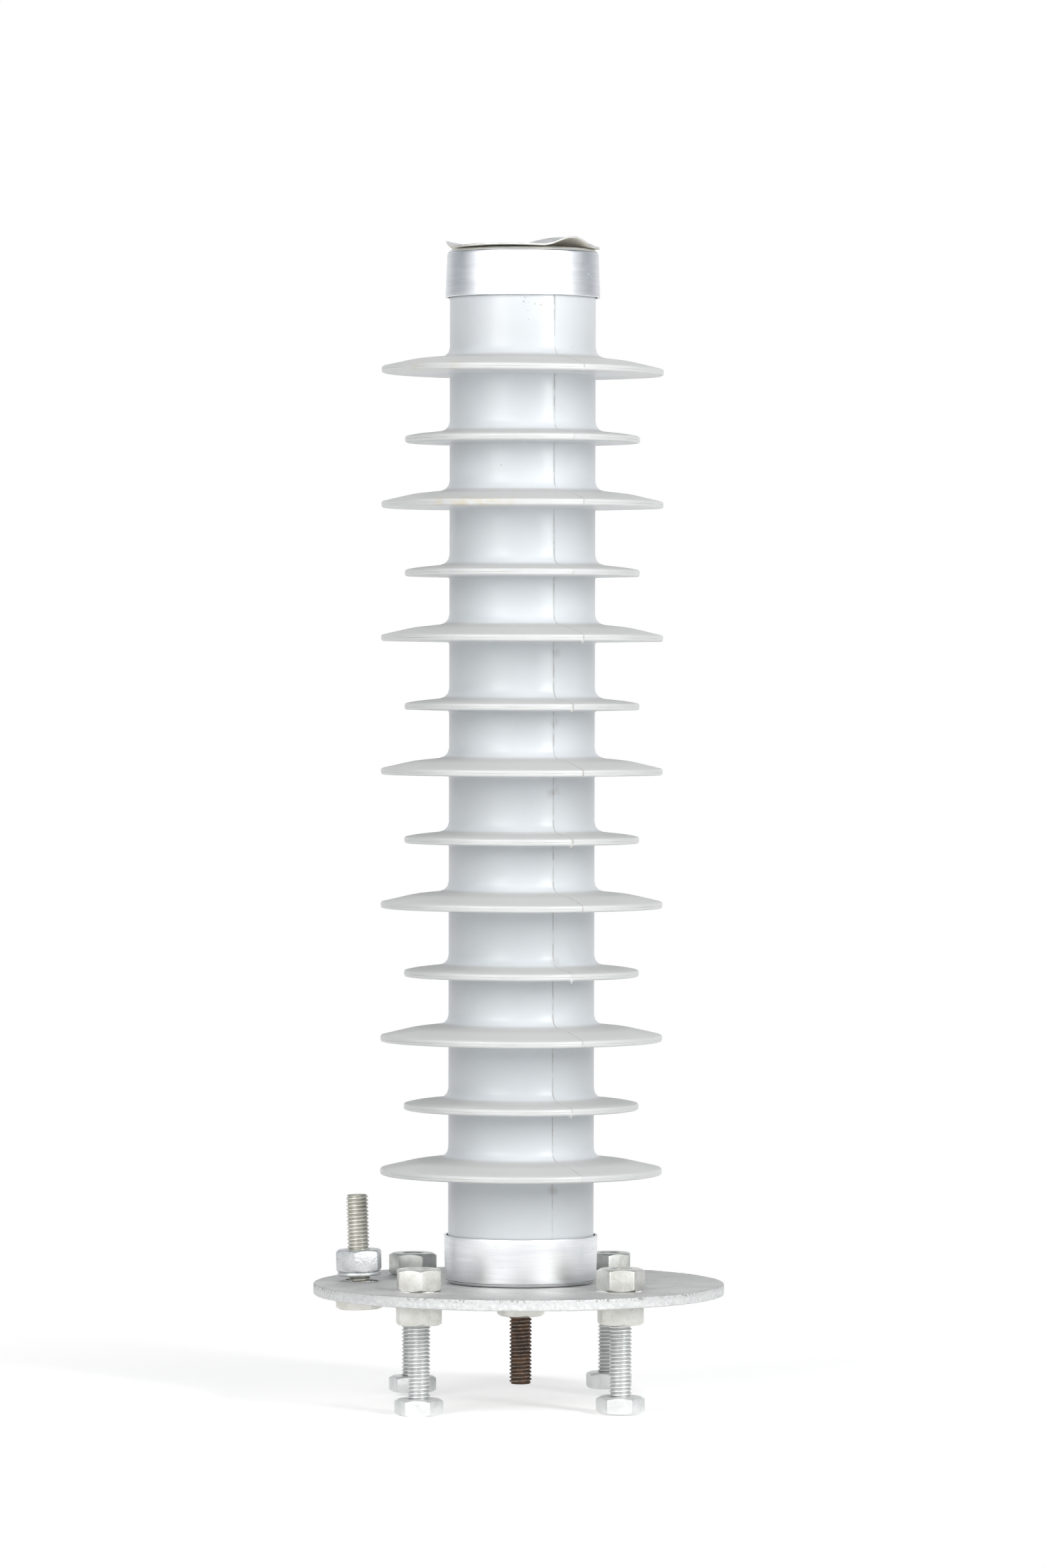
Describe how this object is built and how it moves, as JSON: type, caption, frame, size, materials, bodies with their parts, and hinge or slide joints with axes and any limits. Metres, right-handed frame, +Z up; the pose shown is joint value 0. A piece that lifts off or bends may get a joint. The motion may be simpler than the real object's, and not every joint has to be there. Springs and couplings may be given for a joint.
{
  "type": "distribution surge arrester",
  "caption": "Tall polymer-housed surge arrester with alternating large and small sheds, aluminium end cups and a round steel base plate with hanging bolts.",
  "frame": {"origin": "middle of the base plate's underside on the housing's axis, the face that goes on a bracket", "axes": "+Z up the housing towards the line end, -Y towards the front, earth terminal on the -X side"},
  "size_m": [0.1749, 0.175, 0.4988],
  "materials": {
    "silicone_rubber": "satin",
    "cup_aluminium": "brushed",
    "sheet_aluminium": "dull",
    "galvanised_plate": "dull galvanised",
    "galvanised_steel": "galvanised",
    "zinc_plated_steel": "zinc plated",
    "rusty_steel": "rusty",
    "glass_fibre_tube": "satin",
    "zinc_oxide": "matte",
    "block_aluminium": "turned",
    "contact_brass": "satin",
    "seal_rubber": "matte",
    "spring_steel": "oiled"
  },
  "bodies": {
    "root": {"housing": "silicone_rubber", "top_cup": "cup_aluminium", "bottom_cup": "cup_aluminium", "top_sheet": "sheet_aluminium", "base_plate": "galvanised_plate", "mounting_bolts": "galvanised_steel", "upper_nuts": "zinc_plated_steel", "lower_nuts": "zinc_plated_steel", "earth_bolt": "galvanised_steel", "earth_washer": "zinc_plated_steel", "earth_nut": "zinc_plated_steel", "centre_stud": "rusty_steel", "centre_nut": "zinc_plated_steel", "tube": "glass_fibre_tube", "bottom_block": "block_aluminium", "top_block": "block_aluminium", "bottom_ring": "seal_rubber", "top_ring": "seal_rubber", "spring": "spring_steel", "contact_plate": "contact_brass", "spacer_1": "block_aluminium", "spacer_2": "block_aluminium", "spacer_3": "block_aluminium", "spacer_4": "block_aluminium", "zinc_oxide_disc_1": "zinc_oxide", "zinc_oxide_disc_2": "zinc_oxide", "zinc_oxide_disc_3": "zinc_oxide", "zinc_oxide_disc_4": "zinc_oxide", "zinc_oxide_disc_5": "zinc_oxide", "zinc_oxide_disc_6": "zinc_oxide", "zinc_oxide_disc_7": "zinc_oxide", "zinc_oxide_disc_8": "zinc_oxide", "zinc_oxide_disc_9": "zinc_oxide"}
  },
  "joints": []
}
